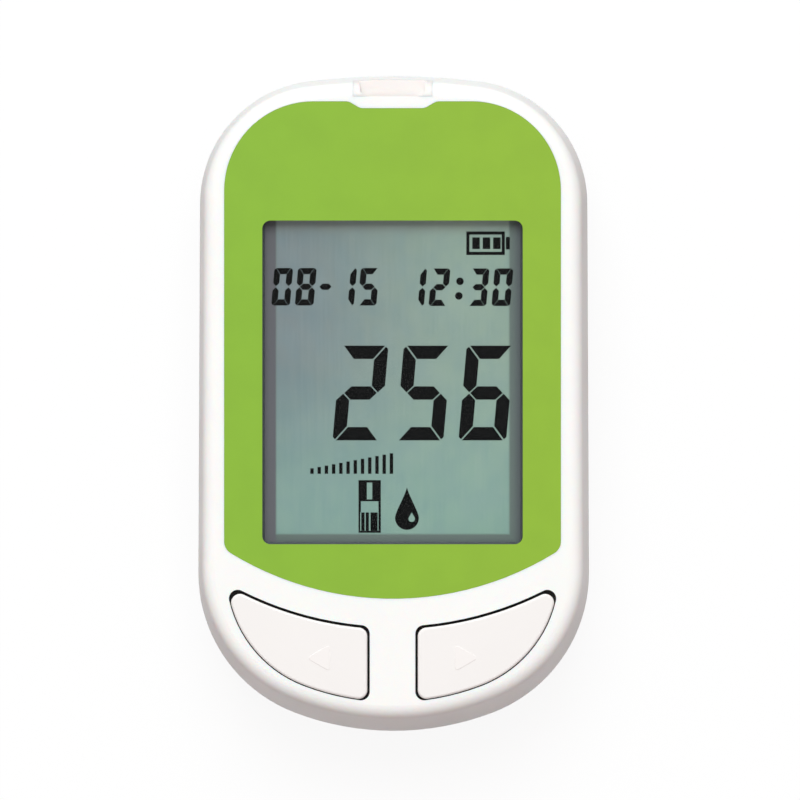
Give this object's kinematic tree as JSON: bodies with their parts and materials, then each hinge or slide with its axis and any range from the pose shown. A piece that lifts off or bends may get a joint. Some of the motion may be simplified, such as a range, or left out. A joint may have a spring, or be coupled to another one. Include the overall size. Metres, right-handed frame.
{
  "type": "blood glucose meter",
  "caption": "Handheld meter with a large display under a coloured fascia, two crescent buttons, a strip port at its top end and a sliding battery door.",
  "frame": {"origin": "centre of the bounding box's underside: under the middle of the case, on the surface that its rubber feet rest on", "axes": "+Z out of the face, +Y to the strip port end, +X to the right seen from the face"},
  "size_m": [0.0574, 0.0962, 0.0214],
  "materials": {
    "white_shell": "satin",
    "button_white": "satin",
    "fascia_green": "gloss",
    "clear_lens": "gloss",
    "holder_grey": "matte",
    "lcd_polariser": "satin",
    "lcd_glass": "gloss",
    "lcd_reflector": "satin",
    "zebra_rubber": "matte",
    "display_foam": "matte",
    "board_green": "satin",
    "chip_black": "matte",
    "crystal_metal": "satin",
    "resistor_dark": "matte",
    "contact_metal": "satin",
    "plated_steel": "satin",
    "screw_steel": "satin",
    "battery_can": "satin",
    "battery_sleeve": "gloss",
    "carrier_black": "matte",
    "switch_black": "matte",
    "plunger_white": "matte",
    "guide_white": "satin",
    "connector_black": "matte",
    "buzzer_black": "matte",
    "buzzer_brass": "satin",
    "foot_rubber": "matte"
  },
  "bodies": {
    "case": {"front_cover": "white_shell", "rear_cover": "white_shell", "rubber_feet": "foot_rubber", "fascia_overlay": "fascia_green", "display_lens": "clear_lens", "display_holder": "holder_grey", "lcd_front_polariser": "lcd_polariser", "lcd_front_glass": "lcd_glass", "lcd_rear_glass": "lcd_glass", "lcd_reflector": "lcd_reflector", "zebra_strip": "zebra_rubber", "display_pad": "display_foam", "main_board": "board_green", "case_screws": "screw_steel", "board_screws": "screw_steel", "strip_port_guide": "guide_white", "strip_connector_housing": "connector_black", "strip_contact_springs": "contact_metal", "memory_switch_housing": "switch_black", "memory_switch_cover": "plated_steel", "set_switch_housing": "switch_black", "set_switch_cover": "plated_steel", "battery_left": "battery_can", "battery_left_sleeve": "battery_sleeve", "battery_right": "battery_can", "battery_right_sleeve": "battery_sleeve", "battery_contact_positive": "plated_steel", "battery_contact_negative": "plated_steel", "battery_bridge_contact": "plated_steel", "battery_springs": "plated_steel", "buzzer_housing": "buzzer_black", "buzzer_disc": "buzzer_brass", "microcontroller": "chip_black", "memory_chip": "chip_black", "crystal": "crystal_metal", "chip_resistors": "resistor_dark"},
    "memory_button": {"memory_button_cap": "button_white", "memory_button_carrier": "carrier_black", "memory_switch_plunger": "plunger_white"},
    "set_button": {"set_button_cap": "button_white", "set_button_carrier": "carrier_black", "set_switch_plunger": "plunger_white"},
    "battery_door": {"battery_door": "white_shell"}
  },
  "joints": [
    {"name": "memory_button_press", "type": "slide", "parent": "case", "child": "memory_button", "axis": [0, 0, -1], "range_m": [0, 0.0004], "stiffness_N_per_m": 1500, "springref_m": -0.0002},
    {"name": "set_button_press", "type": "slide", "parent": "case", "child": "set_button", "axis": [0, 0, -1], "range_m": [0, 0.0004], "stiffness_N_per_m": 1500, "springref_m": -0.0002},
    {"name": "battery_door_slide", "type": "slide", "parent": "case", "child": "battery_door", "axis": [0, -1, 0], "range_m": [0, 0.056]}
  ]
}
